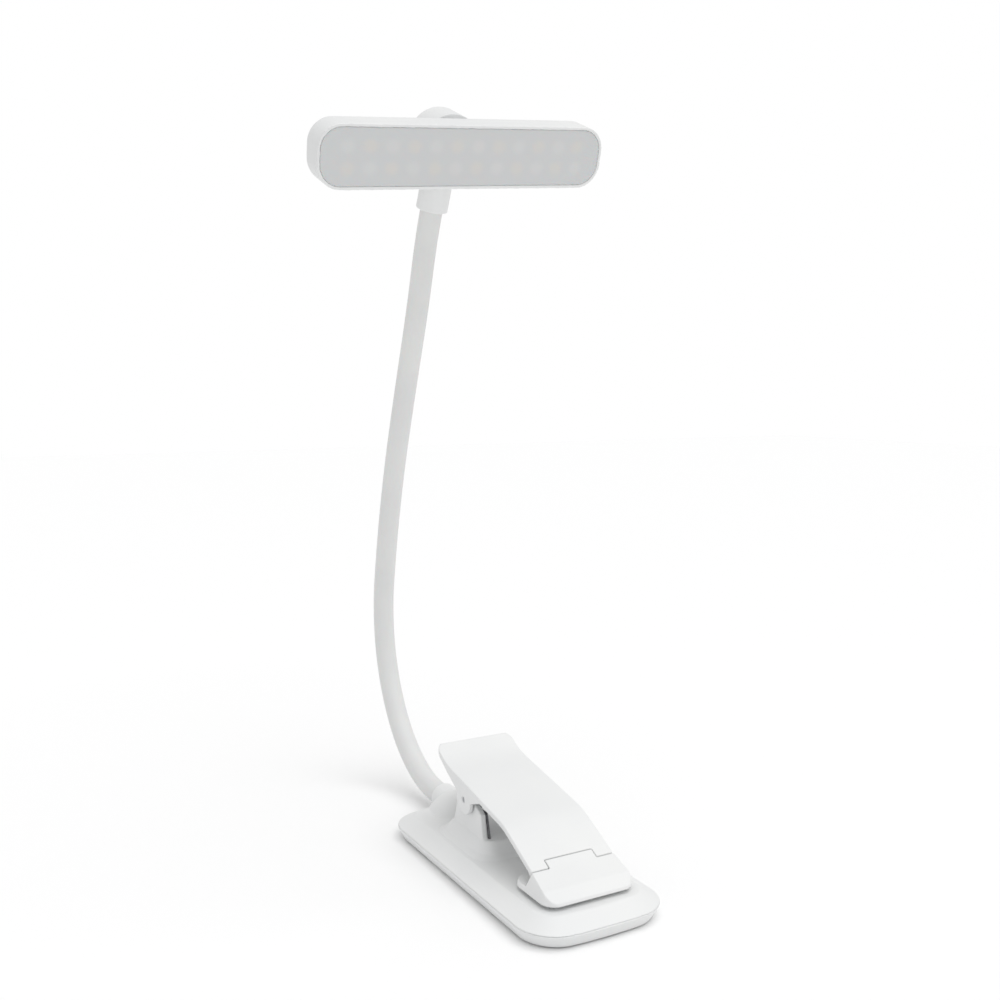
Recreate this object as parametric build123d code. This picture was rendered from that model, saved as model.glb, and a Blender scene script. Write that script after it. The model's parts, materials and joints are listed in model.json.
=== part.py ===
from build123d import *
import math
import os

# Clip-on reading lamp. Millimetres. +Z is up, +X is across the base, -Y is the jaw's open end and
# the side that the lit face looks to. The origin is the centre of the underside, on the table.

# ---- Clearances
running_gap = 0.05  # radial, a shaft that turns in a bore
body_gap = 0.3  # between faces of pieces that move past each other
fit_gap = 0.1  # between pieces that are assembled and then stay still
skin_gap = 0.15  # silicone sleeve over the neck's steel core

# ---- Base: a flat rounded case in two shells, joined at the belt
base_width = 60.5
base_front_y = -63.6
base_rear_y = 63.6
foot_thickness = 0.6
belt_z = 5.7
plateau_z = 9.8
undercut = 2.6  # how far the underside is set in from the belt
shoulder = 7.8  # how far the plateau is set in from the belt
front_bow = 1.9
rear_bow = 2.4
belt_corner = 16.3
underside_corner = 15.0
plateau_corner = 7.6
shell_wall = 1.6
floor_wall = 1.8
foot_inset = 4.0

# ---- Mound on the base that carries the hinge
mound_top_z = 15.5
mound_foot_half_width = 21.0
mound_top_half_width = 15.9
mound_foot_front_y = -7.0
mound_top_front_y = -1.0
mound_foot_rear_y = 38.0
mound_top_rear_y = 31.5
mound_knee_z = 11.2  # the concave flank turns here
mound_knee_half_width = 18.6
mound_foot_corner = 9.0
mound_top_corner = 6.0

# ---- Dome behind the mound, which the neck comes out of
dome_y = 50.0
dome_radius = 17.6  # about a centre on the table plane

# ---- Lever and its hinge
pivot_y = 14.3
pivot_z = 28.6
pin_radius = 1.25
lever_half_width = 18.0
lever_thickness = 2.2
lever_rear = (39.6, 44.6)  # y, z of the top face at the thumb end
lever_heel = (30.6, 39.2)
lever_knee = (-19.0, 30.1)
lever_front = (-40.4, 19.7)
lever_bend_radius = 30.0
lever_corner = 5.0
web_thickness = 2.0
web_lobe_radius = 6.0
pin_recess = 0.7
ear_thickness = 2.4
ear_lobe_radius = 4.9
ear_foot_front_y = 1.8
ear_foot_rear_y = 28.0
ear_waist_front_y = 3.6
ear_waist_rear_y = 24.4
ear_waist_z = 25.2

# ---- Torsion spring on the hinge pin
wire_radius = 0.6
coil_radius = 3.9  # to the middle of the wire
coil_length = 7.2
coil_skin = 0.05  # the coil's envelope stands this far outside the wire
coil_start_x = -12.6
spring_leg_foot_y = 2.6
spring_leg_knee_y = 5.4
spring_leg_depth = 1.4  # how far the leg goes into the mound
lever_leg_reach = 15.0

# ---- Jaw pad
pad_pin_radius = 1.0
pad_pin_back = 3.4  # behind the lever's front edge
knuckle_radius = 2.3
tab_half_width = 10.3
tab_depth = 4.1
lug_thickness = 4.6
pad_top_half_width = 18.0
pad_foot_half_width = 19.6
pad_rear_y = -28.0
pad_front_y = -54.6
pad_floor_z = 11.3
pad_ledge_z = 13.4
pad_brow = (-49.6, 15.8)  # y, z where the top turns down into the front face
pad_lip_z = 12.6
pad_lip_back = 0.5
pad_corner = 6.0
grip_thickness = 1.1
grip_proud = 0.5
grip_half_width = 16.0
grip_front_y = -51.6
grip_rear_y = -31.0
grip_corner = 3.0

# ---- Neck: steel core links inside a silicone sleeve
sleeve_radius = 5.0
core_radius = 2.4
lead_radius = 1.0  # bore that the wires run in
socket_gap = 0.2
mouth_y = 69.0
mouth_z = 8.6
mouth_rise = 0.0  # degrees above level
root_length = 17.5
sleeve_in_mouth = 7.0
first_reach = 5.0  # from the mouth to the first bend
link_lengths = [22.0, 28.0, 33.3, 39.8, 39.8, 39.8, 39.8, 39.8, 25.8]
link_rises = [24, 50, 74, 100, 105, 110, 111.5, 107.5, 115.5]  # degrees above level at each link's upper end
nozzle_radius = 6.3
nozzle_length = 9.0

# ---- Collar and swivel cup
collar_radius = 7.0
collar_sink = 9.0  # how far the sleeve goes into the collar
collar_reach = 28.8  # from the collar's lower rim to the swivel axis
cup_radius = 13.9
cup_depth = 14.8
cup_wall = 2.4
cup_floor = 3.2
boss_radius = 11.3
boss_height = 3.9
boss_sink = 1.2
swivel_screw_radius = 1.5
swivel_head_radius = 3.0
swivel_head_height = 2.0
washer_radius = 5.5
washer_thickness = 0.8
cap_crown = 1.2
cap_thickness = 1.6

# ---- Head
head_tilt = 24.0  # degrees that the lit face looks down
head_roll = 5.5  # degrees that the head is turned about the swivel
head_length = 129.6
head_height = 26.0
head_corner = 10.2
head_depth = 14.2
head_wall = 1.6
head_rim = 1.3
head_edge_round = 1.6
diffuser_thickness = 1.6
diffuser_sink = 0.3
board_depth = 7.0
board_thickness = 1.2
led_columns = 12
led_pitch = 9.5
led_row_gap = 8.8
led_length = 3.4
led_width = 2.8
led_height = 0.7
board_screw_x = 54.0
board_screw_radius = 1.0

# ---- Inside the base
case_screw_x = 21.0
case_screw_ys = (-31.0, 50.0)
case_screw_radius = 1.0
case_screw_head_radius = 1.9
case_screw_head_height = 1.1
case_screw_length = 5.4
case_post_radius = 2.6
battery_size = (34.0, 50.0, 4.7)
battery_y = -2.0
foam_thickness = 0.4
ballast_size = (40.0, 19.0, 3.6)
ballast_y = -45.5
board_front_y = 27.0
board_rear_y = 47.0
board_left_x = -16.0
board_right_x = 23.2
board_z = 3.3
circuit_thickness = 1.0
usb_y = 35.0
usb_width = 9.0
usb_height = 3.2
usb_length = 5.8
usb_wall = 0.35
button_x = 17.0
button_y = 43.4
button_radius = 3.2
button_proud = 0.8
button_travel = 0.5
button_flange = 0.8
button_flange_height = 0.8
button_stem_radius = 1.4
switch_size = 5.0
switch_height = 1.5
switch_plunger_radius = 1.1
switch_plunger_height = 0.4
lens_y = 48.6
lens_radius = 0.8
clamp_half_width = 9.0
clamp_front_y = 51.0
clamp_rear_y = 59.0
clamp_drop = 6.0
clamp_screw_x = 6.2
clamp_screw_radius = 0.9
clamp_screw_head_radius = 1.7
clamp_screw_head_height = 1.0


# ---- Frames along the neck
def heading(rise):
    """Unit direction in the plane of symmetry, rise degrees above level and pointing to the rear."""
    return Vector(0, math.cos(math.radians(rise)), math.sin(math.radians(rise)))


def arc_end(start, rise, next_rise, length):
    """Where an arc of that length ends when its direction turns from rise to next_rise."""
    half_turn = math.radians(next_rise - rise) / 2
    chord = length * math.sin(half_turn) / half_turn if half_turn else length
    return start + heading((rise + next_rise) / 2) * chord


mouth = Vector(0, mouth_y, mouth_z)
bend_points = [mouth + heading(mouth_rise) * first_reach]
bend_rises = [mouth_rise] + link_rises
for link_index, link_length in enumerate(link_lengths):
    bend_points.append(
        arc_end(bend_points[-1], bend_rises[link_index], bend_rises[link_index + 1], link_length)
    )
bend_count = len(link_lengths)
collar_rim = bend_points.pop()
collar_rise = bend_rises[-1]
hub = collar_rim + heading(collar_rise) * collar_reach
hub_axis = heading(head_tilt)  # from the lit face to the back of the head
boss_face = cup_depth / 2 - boss_sink + boss_height  # from the hub forward to the head's back
face_to_hub = head_depth + boss_face
head_centre = hub - hub_axis * face_to_hub
# Local frames: z runs from the lit face to the back. The head's x is turned by its roll.
cup_frame = Plane(origin=hub, x_dir=(1, 0, 0), z_dir=hub_axis)
head_x = Vector(1, 0, 0).rotate(Axis((0, 0, 0), tuple(hub_axis)), -head_roll)
head_frame = Plane(origin=head_centre, x_dir=head_x, z_dir=hub_axis)


def arc_edge(start, rise, next_rise, length):
    end = arc_end(start, rise, next_rise, length)
    if rise == next_rise:
        return Edge.make_line(start, end)
    return Edge.make_tangent_arc(start, heading(rise), end)


def rod(start, rise, next_rise, length, radius):
    """Round bar along an arc in the plane of symmetry."""
    section = Plane(origin=start, x_dir=(1, 0, 0), z_dir=heading(rise)) * Circle(radius)
    return sweep(section, path=arc_edge(start, rise, next_rise, length))


def straight_rod(start, end, radius):
    along = end - start
    return Plane(origin=start, z_dir=along) * extrude(Circle(radius), along.length)


# ---- Base shells
def bowed_plan(inset, corner, z):
    """The base's outline at height z, inset from the belt, with bowed ends and rounded corners."""
    half_width = base_width / 2 - inset
    front = base_front_y + inset
    rear = base_rear_y - inset
    outline = Curve() + [
        ThreePointArc((-half_width, front), (0, front - front_bow), (half_width, front)),
        Line((half_width, front), (half_width, rear)),
        ThreePointArc((half_width, rear), (0, rear + rear_bow), (-half_width, rear)),
        Line((-half_width, rear), (-half_width, front)),
    ]
    face = make_face(outline)
    return Pos(0, 0, z) * fillet(face.vertices(), corner)


def mound_plan(half_width, front, rear, corner, z):
    centre_y = (front + rear) / 2
    return Pos(0, centre_y, z) * RectangleRounded(2 * half_width, rear - front, corner)


def mound_solid(inset, drop):
    """The mound, or with an inset and a drop the hollow inside it."""
    knee_share = (mound_knee_half_width - mound_top_half_width) / (
        mound_foot_half_width - mound_top_half_width
    )
    knee_front = mound_top_front_y + (mound_foot_front_y - mound_top_front_y) * knee_share
    knee_rear = mound_top_rear_y + (mound_foot_rear_y - mound_top_rear_y) * knee_share
    foot = mound_plan(
        mound_foot_half_width - inset,
        mound_foot_front_y + inset,
        mound_foot_rear_y - inset,
        mound_foot_corner - inset,
        plateau_z - drop,
    )
    knee = mound_plan(
        mound_knee_half_width - inset,
        knee_front + inset,
        knee_rear - inset,
        (mound_foot_corner + mound_top_corner) / 2 - inset,
        mound_knee_z - drop,
    )
    top = mound_plan(
        mound_top_half_width - inset,
        mound_top_front_y + inset,
        mound_top_rear_y - inset,
        mound_top_corner - inset,
        mound_top_z - drop,
    )
    return loft([foot, knee], ruled=True) + loft([knee, top], ruled=True)


def case_screw_places():
    return [(side * case_screw_x, y) for side in (-1, 1) for y in case_screw_ys]


def usb_middle():
    """Centre of the charging socket's inner end, which stands in a notch of the board's edge."""
    return Vector(board_right_x, usb_y, foot_thickness + floor_wall + fit_gap + usb_height / 2)


def usb_slot(margin):
    """Room for the charging socket through the right-hand wall."""
    slot = Box(
        base_width / 2,
        usb_width + 2 * margin,
        usb_height + 2 * margin,
        align=(Align.MIN, Align.CENTER, Align.CENTER),
    )
    return Pos(*usb_middle()) * slot


def neck_envelope(margin):
    return straight_rod(nozzle_root(), mouth, nozzle_radius + margin)


def nozzle_root():
    return mouth - heading(mouth_rise) * nozzle_length


def base_lower_shell():
    outside = loft(
        [
            bowed_plan(undercut, underside_corner, foot_thickness),
            bowed_plan(0, belt_corner, belt_z),
        ],
        ruled=True,
    )
    inside = loft(
        [
            bowed_plan(undercut + shell_wall, underside_corner - shell_wall, foot_thickness + floor_wall),
            bowed_plan(shell_wall, belt_corner - shell_wall, belt_z),
        ],
        ruled=True,
    )
    shell = outside - inside - neck_envelope(fit_gap) - usb_slot(fit_gap)
    for x, y in case_screw_places():
        shell -= Pos(x, y, foot_thickness) * Cylinder(
            case_screw_radius + fit_gap, floor_wall, align=(Align.CENTER, Align.CENTER, Align.MIN)
        )
        shell -= Pos(x, y, foot_thickness) * Cylinder(
            case_screw_head_radius + fit_gap,
            case_screw_head_height,
            align=(Align.CENTER, Align.CENTER, Align.MIN),
        )
    return shell


def ear_profile(lobe_radius):
    outline = make_face(
        Polyline(
            (ear_foot_front_y, mound_top_z - shell_wall),
            (ear_waist_front_y, ear_waist_z),
            (pivot_y - lobe_radius, pivot_z),
            (pivot_y + lobe_radius, pivot_z),
            (ear_waist_rear_y, ear_waist_z),
            (ear_foot_rear_y, mound_top_z - shell_wall),
            close=True,
        )
    )
    return outline + Pos(pivot_y, pivot_z) * Circle(lobe_radius)


ear_outer_x = lever_half_width - web_thickness - body_gap - fit_gap
ear_inner_x = ear_outer_x - ear_thickness


def ears():
    plate = Plane.YZ * ear_profile(ear_lobe_radius)
    right = Pos(ear_inner_x, 0, 0) * extrude(plate, ear_thickness)
    return right + mirror(right, Plane.YZ)


def dome(inset):
    """The dome's solid above the belt, or with an inset the hollow inside it."""
    above_belt = extrude(bowed_plan(inset, belt_corner - inset, belt_z), dome_radius)
    return Pos(0, dome_y, 0) * Sphere(dome_radius - inset) & above_belt


def nozzle():
    """Short tube at the foot of the dome that the neck comes out of."""
    return straight_rod(nozzle_root(), mouth, nozzle_radius)


def clamp_seat():
    """Block under the dome that the neck's root is pressed up against."""
    block = Box(
        2 * clamp_half_width,
        clamp_rear_y - clamp_front_y,
        dome_radius,
        align=(Align.CENTER, Align.CENTER, Align.MIN),
    )
    return Pos(0, clamp_middle_y(), root_axis_z(clamp_middle_y())) * block & dome(0)


def clamp_space():
    """Clear room for the clamp under its seat."""
    return Pos(0, clamp_middle_y(), root_axis_z(clamp_middle_y())) * Box(
        2 * (clamp_half_width + fit_gap),
        clamp_rear_y - clamp_front_y + 2 * fit_gap,
        clamp_drop + belt_z,
        align=(Align.CENTER, Align.CENTER, Align.MAX),
    )


def spring_leg(margin):
    """The spring's leg that stands in the base, with its bend."""
    x = spring_leg_x()
    knee = Vector(x, spring_leg_knee_y, pivot_z - coil_radius)
    foot = Vector(x, spring_leg_foot_y, mound_top_z - spring_leg_depth)
    return straight_rod(knee, foot, wire_radius + margin)


def base_upper_shell():
    outside = loft(
        [bowed_plan(0, belt_corner, belt_z), bowed_plan(shoulder, plateau_corner, plateau_z)], ruled=True
    )
    inside = loft(
        [
            bowed_plan(shell_wall, belt_corner - shell_wall, belt_z),
            bowed_plan(shoulder + shell_wall, plateau_corner - shell_wall, plateau_z - shell_wall),
        ],
        ruled=True,
    )
    shell = outside + mound_solid(0, 0) + dome(0) + nozzle()
    shell -= inside
    shell -= mound_solid(shell_wall, shell_wall)
    shell -= dome(shell_wall)
    shell += nozzle()
    shell -= clamp_space()
    shell += clamp_seat()
    shell += ears()
    for x, y in case_screw_places():
        post = Cylinder(
            case_post_radius,
            plateau_z - shell_wall - foot_thickness - floor_wall,
            align=(Align.CENTER, Align.CENTER, Align.MAX),
        )
        shell += Pos(x, y, plateau_z - shell_wall) * post
        shell -= Pos(x, y, foot_thickness + floor_wall) * Cylinder(
            case_screw_radius, case_screw_length, align=(Align.CENTER, Align.CENTER, Align.MIN)
        )
    root_start = mouth - heading(mouth_rise) * (root_length + fit_gap)
    shell -= straight_rod(root_start, mouth, core_radius)
    sleeve_start = mouth - heading(mouth_rise) * sleeve_in_mouth
    shell -= straight_rod(sleeve_start, mouth + heading(mouth_rise), sleeve_radius)
    shell -= usb_slot(fit_gap)
    shell -= Pos(button_x, button_y, plateau_z) * Cylinder(button_radius + fit_gap, 3 * shell_wall)
    shell -= Pos(button_x, lens_y, plateau_z) * Cylinder(lens_radius, 3 * shell_wall)
    shell -= Plane.YZ * Pos(pivot_y, pivot_z) * Cylinder(pin_radius, base_width)
    leg_hole = spring_leg(fit_gap)
    shell -= leg_hole
    shell -= mirror(leg_hole, Plane.YZ)
    shell -= lower_grip_recess()
    for side in (-1, 1):
        shell -= Pos(side * clamp_screw_x, clamp_middle_y(), root_axis_z(clamp_middle_y())) * Cylinder(
            clamp_screw_radius, shell_wall, align=(Align.CENTER, Align.CENTER, Align.MIN)
        )
    return shell


def root_axis_z(y):
    return mouth_z - (mouth_y - y) * math.tan(math.radians(mouth_rise))


def clamp_middle_y():
    return (clamp_front_y + clamp_rear_y) / 2


def base_foot_pad():
    plan = bowed_plan(undercut + foot_inset, underside_corner - foot_inset, 0)
    return extrude(plan, foot_thickness)


# ---- Jaw grips
def grip_plan(z):
    length = grip_rear_y - grip_front_y
    return Pos(0, (grip_rear_y + grip_front_y) / 2, z) * RectangleRounded(
        2 * grip_half_width, length, grip_corner
    )


def lower_grip_recess():
    return extrude(grip_plan(plateau_z - (grip_thickness - grip_proud)), grip_thickness)


def lower_jaw_grip():
    return lower_grip_recess()


def upper_grip_block():
    bottom_z = plateau_z + grip_proud + body_gap
    return extrude(grip_plan(bottom_z), pad_floor_z - bottom_z + grip_proud)


def upper_jaw_grip():
    return upper_grip_block()


# ---- Hinge pin and spring
def hinge_pin():
    length = 2 * (lever_half_width - pin_recess)
    return Plane.YZ * Pos(pivot_y, pivot_z) * Cylinder(pin_radius, length)


def spring_leg_x():
    return coil_start_x + wire_radius + coil_skin


def wire(points, radius):
    """Round wire through those points, with round bends."""
    along = points[1] - points[0]
    section = Plane(origin=points[0], z_dir=along) * Circle(radius)
    return sweep(section, path=Polyline(*points), transition=Transition.ROUND)


def torsion_spring():
    """Double torsion spring: two coils as their outer envelopes, joined by a bar under the lever."""
    ring = Circle(coil_radius + wire_radius + coil_skin) - Circle(coil_radius - wire_radius - coil_skin)
    half = Pos(coil_start_x, 0, 0) * extrude(Plane.YZ * Pos(pivot_y, pivot_z) * ring, coil_length)
    bottom = Vector(spring_leg_x(), pivot_y, pivot_z - coil_radius)
    knee = Vector(spring_leg_x(), spring_leg_knee_y, pivot_z - coil_radius)
    foot = Vector(spring_leg_x(), spring_leg_foot_y, mound_top_z - spring_leg_depth)
    half += wire([bottom, knee, foot], wire_radius)
    slope = math.atan2(lever_heel[1] - lever_knee[1], lever_heel[0] - lever_knee[0])
    lift = Vector(0, -math.sin(slope), math.cos(slope)) * coil_radius
    top = Vector(coil_start_x + coil_length - wire_radius - coil_skin, pivot_y, pivot_z) + lift
    tip = top - Vector(0, math.cos(slope), math.sin(slope)) * lever_leg_reach
    half += wire([top, tip, Vector(0, tip.Y, tip.Z)], wire_radius)
    return half + mirror(half, Plane.YZ)


# ---- Lever
def front_slope():
    return math.atan2(lever_knee[1] - lever_front[1], lever_knee[0] - lever_front[0])


def along_front(back, below):
    """y, z of a point measured back along the lever's top face from its front edge, and below it."""
    slope = front_slope()
    y = lever_front[0] + back * math.cos(slope) + below * math.sin(slope)
    z = lever_front[1] + back * math.sin(slope) - below * math.cos(slope)
    return y, z


def pad_pin_depth():
    """How far the jaw pad's pin lies below the lever's top face."""
    return lever_thickness + knuckle_radius + body_gap


pad_pin_y, pad_pin_z = along_front(pad_pin_back, pad_pin_depth())


def plate_face():
    top = FilletPolyline(lever_rear, lever_heel, lever_knee, lever_front, radius=lever_bend_radius)
    slope_rear = math.atan2(lever_rear[1] - lever_heel[1], lever_rear[0] - lever_heel[0])
    slope_mid = math.atan2(lever_heel[1] - lever_knee[1], lever_heel[0] - lever_knee[0])
    under_front = along_front(0, lever_thickness)
    under_knee = shifted_corner(lever_knee, front_slope(), slope_mid)
    under_heel = shifted_corner(lever_heel, slope_mid, slope_rear)
    under_rear = (
        lever_rear[0] + lever_thickness * math.sin(slope_rear),
        lever_rear[1] - lever_thickness * math.cos(slope_rear),
    )
    bottom = FilletPolyline(under_front, under_knee, under_heel, under_rear, radius=lever_bend_radius)
    return make_face(Curve() + [top, Line(lever_front, under_front), bottom, Line(under_rear, lever_rear)])


def shifted_corner(corner, slope_a, slope_b):
    """The corner of the plate's underside below a corner of its top, where two slopes meet."""
    middle = (slope_a + slope_b) / 2
    depth = lever_thickness / math.cos((slope_b - slope_a) / 2)
    return corner[0] + depth * math.sin(middle), corner[1] - depth * math.cos(middle)


def web_face():
    """Side web of the lever: a flare from the plate down to the hinge."""
    flare = make_face(
        Polyline(
            (lever_heel[0] + web_lobe_radius, lever_heel[1] + lever_thickness / 2),
            (lever_heel[0] - lever_thickness / 2, lever_heel[1] - 1.6 * lever_thickness),
            (pivot_y + web_lobe_radius, pivot_z + lever_thickness),
            (pivot_y + web_lobe_radius, pivot_z),
            (pivot_y - web_lobe_radius, pivot_z),
            (pivot_y - 2 * web_lobe_radius, pivot_z + lever_thickness),
            (pivot_y - 3 * web_lobe_radius, pivot_z + 2 * lever_thickness),
            close=True,
        )
    )
    below_plate = flare + Pos(pivot_y, pivot_z) * Circle(web_lobe_radius)
    return below_plate


def lever():
    plate = extrude(Plane.YZ * plate_face(), lever_half_width, both=True)
    plan = Pos(0, lever_rear[0] / 2 + lever_front[0] / 2, 0) * RectangleRounded(
        2 * lever_half_width, 3 * (lever_rear[0] - lever_front[0]), lever_corner
    )
    web = extrude(Plane.YZ * web_face(), web_thickness)
    webs = Pos(lever_half_width - web_thickness, 0, 0) * web
    webs += mirror(webs, Plane.YZ)
    above = extrude(Plane.YZ * above_plate_face(), lever_half_width, both=True)
    body = plate + (webs - above)
    thumb = Pos(0, lever_rear[0] - lever_half_width, 0) * RectangleRounded(
        2 * lever_half_width, 2 * lever_half_width + lever_thickness, lever_corner
    )
    front_part = Pos(0, lever_rear[0] - 2 * lever_half_width, 0) * Rectangle(
        2 * lever_half_width, 8 * lever_half_width, align=(Align.CENTER, Align.MAX)
    )
    outline = extrude(thumb + Pos(0, lever_half_width, 0) * front_part, 2 * lever_rear[1])
    body &= outline
    lug = lug_face()
    for side in (-1, 1):
        start_x = side * (tab_half_width + body_gap + lug_thickness / 2)
        body += Pos(start_x, 0, 0) * extrude(Plane.YZ * lug, lug_thickness / 2, both=True)
    notch = make_face(
        Polyline(
            along_front(-tab_depth, -lever_thickness),
            along_front(tab_depth, -lever_thickness),
            along_front(tab_depth, lever_thickness + body_gap),
            along_front(-tab_depth, lever_thickness + body_gap),
            close=True,
        )
    )
    body -= extrude(Plane.YZ * notch, tab_half_width + body_gap, both=True)
    body -= Plane.YZ * Pos(pivot_y, pivot_z) * Cylinder(pin_radius + running_gap, base_width)
    body -= Plane.YZ * Pos(pad_pin_y, pad_pin_z) * Cylinder(pad_pin_radius, base_width)
    return body


def above_plate_face():
    """Everything above the plate's top face, to trim the webs with."""
    top = FilletPolyline(lever_rear, lever_heel, lever_knee, lever_front, radius=lever_bend_radius)
    far_z = 2 * lever_rear[1]
    return make_face(
        Curve()
        + [
            top,
            Line(lever_front, (lever_front[0], far_z)),
            Line((lever_front[0], far_z), (lever_rear[0], far_z)),
            Line((lever_rear[0], far_z), lever_rear),
        ]
    )


def lug_face():
    front_y, front_z = along_front(pad_pin_back - knuckle_radius, lever_thickness / 2)
    rear_y, rear_z = along_front(pad_pin_back + knuckle_radius, lever_thickness / 2)
    lower_front = along_front(pad_pin_back - knuckle_radius, pad_pin_depth())
    lower_rear = along_front(pad_pin_back + knuckle_radius, pad_pin_depth())
    block = make_face(Polyline((front_y, front_z), lower_front, lower_rear, (rear_y, rear_z), close=True))
    return block + Pos(pad_pin_y, pad_pin_z) * Circle(knuckle_radius)


def jaw_pad_pin():
    length = 2 * (tab_half_width + body_gap + lug_thickness)
    return Plane.YZ * Pos(pad_pin_y, pad_pin_z) * Cylinder(pad_pin_radius, length)


def jaw_pad():
    clear = knuckle_radius + body_gap
    seam_top = along_front(-body_gap, 0)
    seam_low = along_front(-body_gap, lever_thickness)
    block_rear_y = pad_pin_y - clear
    side_face = make_face(
        Polyline(
            seam_top,
            pad_brow,
            (pad_front_y + pad_lip_back, pad_lip_z),
            (pad_front_y, pad_floor_z),
            (pad_rear_y, pad_floor_z),
            (pad_rear_y, pad_ledge_z - pad_lip_back),
            (pad_rear_y - pad_lip_back, pad_ledge_z),
            (block_rear_y, pad_ledge_z),
            (min(block_rear_y, seam_low[0]), seam_low[1]),
            close=True,
        )
    )
    centre_y = (pad_front_y + pad_rear_y) / 2
    length = pad_rear_y - pad_front_y
    envelope = loft(
        [
            Pos(0, centre_y, pad_floor_z) * RectangleRounded(2 * pad_foot_half_width, length, pad_corner),
            Pos(0, centre_y, seam_top[1] + pad_lip_back)
            * RectangleRounded(2 * pad_top_half_width, length, pad_corner),
        ],
        ruled=True,
    )
    body = extrude(Plane.YZ * side_face, pad_foot_half_width, both=True) & envelope
    tab_top = along_front(tab_depth - body_gap, 0)
    tab_low = along_front(tab_depth - body_gap, lever_thickness)
    tab_face = make_face(
        Polyline(tab_top, seam_top, (pad_brow[0], pad_ledge_z), (pad_pin_y, pad_pin_z), tab_low, close=True)
    )
    knuckle_face = tab_face + Pos(pad_pin_y, pad_pin_z) * Circle(knuckle_radius)
    body += extrude(Plane.YZ * knuckle_face, tab_half_width, both=True)
    body -= Plane.YZ * Pos(pad_pin_y, pad_pin_z) * Cylinder(pad_pin_radius + running_gap, base_width)
    return body - upper_grip_block()


# ---- Inside the base
def case_screws():
    group = []
    for x, y in case_screw_places():
        head = Cylinder(
            case_screw_head_radius, case_screw_head_height, align=(Align.CENTER, Align.CENTER, Align.MIN)
        )
        shank = Cylinder(
            case_screw_radius,
            floor_wall + case_screw_length - case_screw_head_height,
            align=(Align.CENTER, Align.CENTER, Align.MIN),
        )
        group.append(Pos(x, y, foot_thickness) * (head + shank))
    return Compound(children=group)


def battery_foam():
    return Pos(0, battery_y, foot_thickness + floor_wall) * Box(
        battery_size[0], battery_size[1], foam_thickness, align=(Align.CENTER, Align.CENTER, Align.MIN)
    )


def battery_cell():
    outline = RectangleRounded(battery_size[0], battery_size[1], case_screw_radius)
    return Pos(0, battery_y, foot_thickness + floor_wall + foam_thickness) * extrude(outline, battery_size[2])


def ballast_plate():
    outline = RectangleRounded(ballast_size[0], ballast_size[1], case_screw_radius)
    return Pos(0, ballast_y, foot_thickness + floor_wall) * extrude(outline, ballast_size[2])


def control_board():
    middle = ((board_left_x + board_right_x) / 2, (board_front_y + board_rear_y) / 2)
    board = Pos(*middle, board_z) * Box(
        board_right_x - board_left_x,
        board_rear_y - board_front_y,
        circuit_thickness,
        align=(Align.CENTER, Align.CENTER, Align.MIN),
    )
    chip_size = switch_size
    for x in (board_left_x + chip_size, board_left_x + 2.5 * chip_size):
        board += Pos(x, board_front_y + chip_size, board_z + circuit_thickness) * Box(
            chip_size, chip_size, circuit_thickness, align=(Align.CENTER, Align.CENTER, Align.MIN)
        )
    stand = foot_thickness + floor_wall
    for x in (board_left_x + chip_size, board_right_x - chip_size):
        board += Pos(x, board_rear_y - chip_size, stand) * Box(
            chip_size, chip_size / 2, board_z - stand, align=(Align.CENTER, Align.CENTER, Align.MIN)
        )
    return board


def usb_port():
    outer = RectangleRounded(usb_width, usb_height, usb_height / 2 - fit_gap)
    inner = RectangleRounded(
        usb_width - 2 * usb_wall, usb_height - 2 * usb_wall, usb_height / 2 - fit_gap - usb_wall
    )
    frame = Plane(origin=usb_middle(), x_dir=(0, 1, 0), z_dir=(1, 0, 0))
    shell = frame * (extrude(outer, usb_length) - Pos(0, 0, usb_wall) * extrude(inner, usb_length))
    tongue = frame * extrude(Rectangle(usb_width - usb_height, 2 * usb_wall), usb_length * 0.8)
    return shell + tongue


def switch_top_z():
    return board_z + circuit_thickness + switch_height + switch_plunger_height


def tact_switch():
    body = Box(switch_size, switch_size, switch_height, align=(Align.CENTER, Align.CENTER, Align.MIN))
    plunger = Cylinder(
        switch_plunger_radius,
        switch_height + switch_plunger_height,
        align=(Align.CENTER, Align.CENTER, Align.MIN),
    )
    return Pos(button_x, button_y, board_z + circuit_thickness) * (body + plunger)


def mode_button():
    """Round key: a cap through the case, a flange under it, and a stem down to the switch."""
    stem_bottom = switch_top_z() + button_travel + body_gap
    flange_top = plateau_z - shell_wall - fit_gap
    cap = Pos(button_x, button_y, flange_top) * Cylinder(
        button_radius, plateau_z + button_proud - flange_top, align=(Align.CENTER, Align.CENTER, Align.MIN)
    )
    cap = fillet(cap.edges().group_by(Axis.Z)[-1], button_proud / 2)
    flange = Pos(button_x, button_y, flange_top) * Cylinder(
        button_radius + button_flange, button_flange_height, align=(Align.CENTER, Align.CENTER, Align.MAX)
    )
    stem = Pos(button_x, button_y, stem_bottom) * Cylinder(
        button_stem_radius, flange_top - stem_bottom, align=(Align.CENTER, Align.CENTER, Align.MIN)
    )
    return cap + flange + stem


def indicator_lens():
    return Pos(button_x, lens_y, plateau_z - 2 * shell_wall) * Cylinder(
        lens_radius, 2 * shell_wall, align=(Align.CENTER, Align.CENTER, Align.MIN)
    )


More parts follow.
